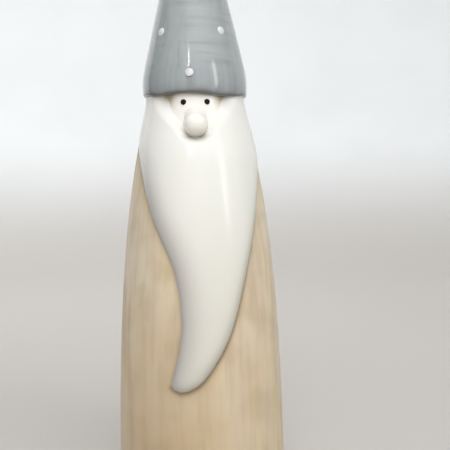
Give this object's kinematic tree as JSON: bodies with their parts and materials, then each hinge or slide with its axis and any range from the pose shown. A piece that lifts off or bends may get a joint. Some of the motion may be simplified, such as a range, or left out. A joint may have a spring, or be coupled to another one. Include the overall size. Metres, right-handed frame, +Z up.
{
  "type": "gnome figurine",
  "caption": "Slim free-standing ceramic gnome with a tapering coat, a horn-shaped beard, a bulb nose and a tall dotted cone hat.",
  "frame": {"origin": "centre of the foot ring, in the plane it rests on", "axes": "+Z up along the figure's axis, -Y the way the face looks, +X towards the viewer's right"},
  "size_m": [0.071, 0.0727, 0.26],
  "materials": {
    "coat_wash": "satin",
    "bare_clay": "matte",
    "face_glaze": "gloss",
    "beard_glaze": "gloss",
    "black_enamel": "gloss",
    "hat_glaze": "gloss",
    "dot_slip": "gloss"
  },
  "bodies": {
    "root": {"coat_shell": "coat_wash", "floor_disc": "bare_clay", "head_shell": "face_glaze", "beard": "beard_glaze", "nose": "face_glaze", "eye_left": "black_enamel", "eye_right": "black_enamel", "hat_shell": "hat_glaze", "hat_dot_1_1": "dot_slip", "hat_dot_1_2": "dot_slip", "hat_dot_1_3": "dot_slip", "hat_dot_1_4": "dot_slip", "hat_dot_2_1": "dot_slip", "hat_dot_2_2": "dot_slip", "hat_dot_2_3": "dot_slip", "hat_dot_2_4": "dot_slip", "hat_dot_3_1": "dot_slip", "hat_dot_3_2": "dot_slip", "hat_dot_3_3": "dot_slip", "hat_dot_3_4": "dot_slip", "hat_dot_4_1": "dot_slip", "hat_dot_4_2": "dot_slip", "hat_dot_4_3": "dot_slip", "hat_dot_4_4": "dot_slip"}
  },
  "joints": []
}
